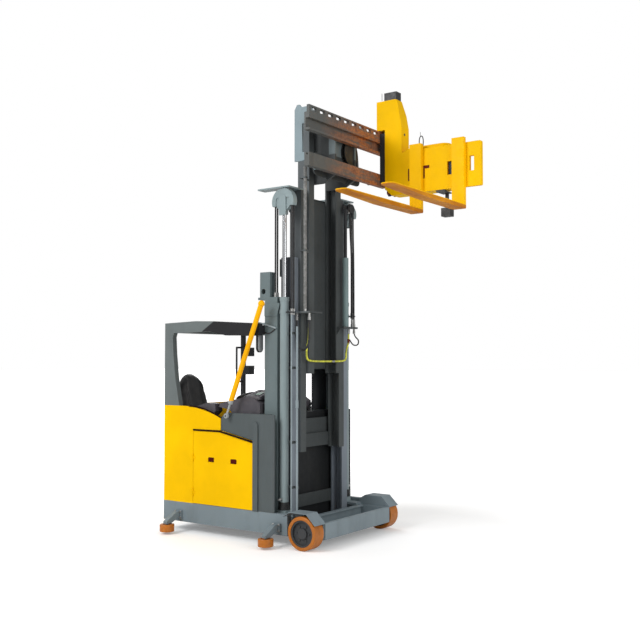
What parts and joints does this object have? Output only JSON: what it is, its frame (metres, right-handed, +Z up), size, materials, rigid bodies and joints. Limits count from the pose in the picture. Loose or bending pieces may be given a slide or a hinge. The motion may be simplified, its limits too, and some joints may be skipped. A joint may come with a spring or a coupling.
{
  "type": "turret truck",
  "caption": "Seated turret truck with yellow body, grey three-stage mast raised high, and a pivoting fork carriage on a traversing column.",
  "frame": {"origin": "on the floor, midway between the two load wheels", "axes": "+X forwards to the mast and forks, +Y to the left, +Z up"},
  "size_m": [3.23, 1.934, 4.782],
  "materials": {
    "yellow_paint": "semi-gloss",
    "grey_paint": "satin",
    "dark_steel": "satin",
    "battery_case": "satin",
    "dark_plastic": "matte",
    "dash_plastic": "matte",
    "seat_cover": "matte",
    "chrome_rod": "polished",
    "teal_paint": "satin",
    "poly_tyre": "matte",
    "hub_iron": "rough"
  },
  "bodies": {
    "chassis": {"chassis_frame": "grey_paint", "wheel_covers": "grey_paint", "cab_screen": "dark_steel", "front_beam": "grey_paint", "roller_brackets": "grey_paint", "battery": "battery_case", "rear_body": "yellow_paint", "left_side_panel": "yellow_paint", "front_housing": "grey_paint", "cab_tub": "dark_plastic", "dashboard": "dash_plastic", "armrest_console": "dash_plastic", "steering_wheel": "dark_plastic", "seat_cushion": "seat_cover", "seat_backrest": "seat_cover", "overhead_guard": "grey_paint", "guard_roof": "dark_steel", "cab_post": "dark_steel", "cab_mirror": "dark_plastic", "mast_columns": "grey_paint", "outer_rails": "grey_paint", "outer_crossmembers": "grey_paint", "lift_barrels": "dark_steel"},
    "middle_mast": {"middle_rails": "grey_paint", "middle_crossmembers": "grey_paint", "lift_rods": "chrome_rod", "lift_yokes": "dark_steel"},
    "inner_mast": {"inner_rails": "grey_paint", "inner_crossmembers": "grey_paint", "free_lift_barrel": "teal_paint"},
    "free_lift": {"free_lift_rod": "dark_steel"},
    "carriage": {"lift_carriage": "grey_paint", "traverse_rails": "grey_paint", "traverse_rack": "dark_steel", "traverse_ends": "grey_paint"},
    "turret": {"turret_column": "yellow_paint", "turret_slide_block": "dark_steel", "turret_sensor_box": "dark_plastic"},
    "fork_head": {"fork_carriage": "yellow_paint", "fork_blades": "yellow_paint", "camera_post": "dark_plastic"},
    "drive_unit": {"drive_yoke": "dark_steel"},
    "drive_wheel": {"drive_tyre": "poly_tyre", "drive_hub": "hub_iron"},
    "side_door": {"service_door": "yellow_paint"},
    "barrier": {"barrier_bar": "yellow_paint"},
    "load_wheel_left": {"load_tyre_left": "poly_tyre", "load_hub_left": "hub_iron"},
    "guide_front_left": {"guide_roller_front_left": "poly_tyre"},
    "guide_rear_left": {"guide_roller_rear_left": "poly_tyre"},
    "load_wheel_right": {"load_tyre_right": "poly_tyre", "load_hub_right": "hub_iron"},
    "guide_front_right": {"guide_roller_front_right": "poly_tyre"},
    "guide_rear_right": {"guide_roller_rear_right": "poly_tyre"}
  },
  "joints": [
    {"name": "mast_lift", "type": "slide", "parent": "chassis", "child": "middle_mast", "axis": [0, 0, 1], "range_m": [-0.69, 1.25]},
    {"name": "inner_lift", "type": "slide", "parent": "middle_mast", "child": "inner_mast", "axis": [0, 0, 1], "range_m": [-0.69, 1.25]},
    {"name": "carriage_lift", "type": "slide", "parent": "inner_mast", "child": "carriage", "axis": [0, 0, 1], "range_m": [-1.92, 0]},
    {"name": "free_lift_stroke", "type": "slide", "parent": "inner_mast", "child": "free_lift", "axis": [0, 0, 1], "range_m": [-0.48, 0]},
    {"name": "turret_traverse", "type": "slide", "parent": "carriage", "child": "turret", "axis": [0, -1, 0], "range_m": [0, 1.2]},
    {"name": "fork_rotate", "type": "hinge", "parent": "turret", "child": "fork_head", "pos_m": [0.813, 0.66, 3.87], "axis": [0, 0, 1], "range_deg": [0, 180]},
    {"name": "barrier_swing", "type": "hinge", "parent": "chassis", "child": "barrier", "pos_m": [-0.993, -0.742, 1.262], "axis": [0, 1, 0], "range_deg": [-105, 0]},
    {"name": "drive_steer", "type": "hinge", "parent": "chassis", "child": "drive_unit", "pos_m": [-1.62, 0, 0.49], "axis": [0, 0, 1], "range_deg": [-90, 90]},
    {"name": "drive_spin", "type": "hinge", "parent": "drive_unit", "child": "drive_wheel", "pos_m": [-1.62, 0, 0.2], "axis": [0, 1, 0], "continuous": true},
    {"name": "door_swing", "type": "hinge", "parent": "chassis", "child": "side_door", "pos_m": [-1.5, -0.704, 0.6], "axis": [0, 0, -1], "range_deg": [0, 100]},
    {"name": "load_spin_left", "type": "hinge", "parent": "chassis", "child": "load_wheel_left", "pos_m": [0, 0.705, 0.165], "axis": [0, 1, 0], "continuous": true},
    {"name": "guide_spin_front_left", "type": "hinge", "parent": "chassis", "child": "guide_front_left", "pos_m": [-0.35, 0.89, 0.06], "axis": [0, 0, 1], "continuous": true},
    {"name": "guide_spin_rear_left", "type": "hinge", "parent": "chassis", "child": "guide_rear_left", "pos_m": [-1.69, 0.89, 0.06], "axis": [0, 0, 1], "continuous": true},
    {"name": "load_spin_right", "type": "hinge", "parent": "chassis", "child": "load_wheel_right", "pos_m": [0, -0.705, 0.165], "axis": [0, 1, 0], "continuous": true},
    {"name": "guide_spin_front_right", "type": "hinge", "parent": "chassis", "child": "guide_front_right", "pos_m": [-0.35, -0.89, 0.06], "axis": [0, 0, 1], "continuous": true},
    {"name": "guide_spin_rear_right", "type": "hinge", "parent": "chassis", "child": "guide_rear_right", "pos_m": [-1.69, -0.89, 0.06], "axis": [0, 0, 1], "continuous": true}
  ],
  "couplings": [
    {"joint": "inner_lift", "follows": "mast_lift", "ratio": 1},
    {"joint": "free_lift_stroke", "follows": "carriage_lift", "ratio": 0.25}
  ]
}
